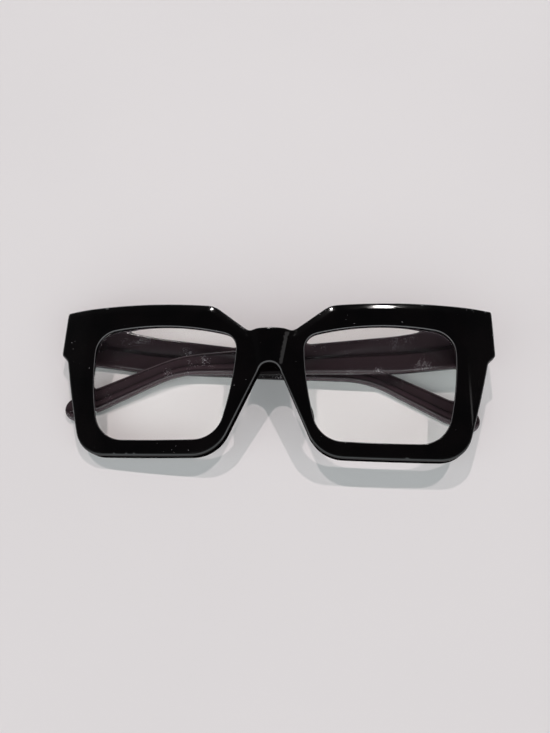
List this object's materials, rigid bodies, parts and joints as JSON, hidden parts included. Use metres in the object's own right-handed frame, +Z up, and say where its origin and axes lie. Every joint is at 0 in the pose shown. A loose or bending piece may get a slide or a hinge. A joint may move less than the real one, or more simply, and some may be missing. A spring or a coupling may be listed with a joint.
{
  "type": "eyeglasses",
  "caption": "Square chunky acetate eyeglasses with clear lenses, folded temples on metal hinges, and a raised bridge panel.",
  "frame": {"origin": "middle of the bottom of the box round the folded glasses, at table height", "axes": "+X towards the wearer's left end-piece (the right side for someone facing the front), +Y towards the brow, +Z up out of the lenses as the folded glasses lie on a table"},
  "size_m": [0.1488, 0.0534, 0.0282],
  "materials": {
    "acetate": "polished black acetate",
    "lens": "clear, thinly coated",
    "nose_pad": "polished black acetate",
    "hinge_metal": "nickel-plated, satin",
    "core_metal": "plain drawn wire"
  },
  "bodies": {
    "front": {"front_frame": "acetate", "lens_left": "lens", "nose_pad_left": "nose_pad", "front_hinge_leaf_left": "hinge_metal", "hinge_screw_left": "hinge_metal", "lens_right": "lens", "nose_pad_right": "nose_pad", "front_hinge_leaf_right": "hinge_metal", "hinge_screw_right": "hinge_metal", "temple_right": "acetate", "temple_hinge_leaf_right": "hinge_metal", "core_wire_right": "core_metal"},
    "temple_left": {"temple_left": "acetate", "temple_hinge_leaf_left": "hinge_metal", "core_wire_left": "core_metal"}
  },
  "joints": [
    {"name": "left_hinge", "type": "hinge", "parent": "front", "child": "temple_left", "pos_m": [-0.06539, 0.01763, 0.0078], "axis": [-0.0175, 0.9747, 0.2227], "range_deg": [0, 85.2]}
  ]
}
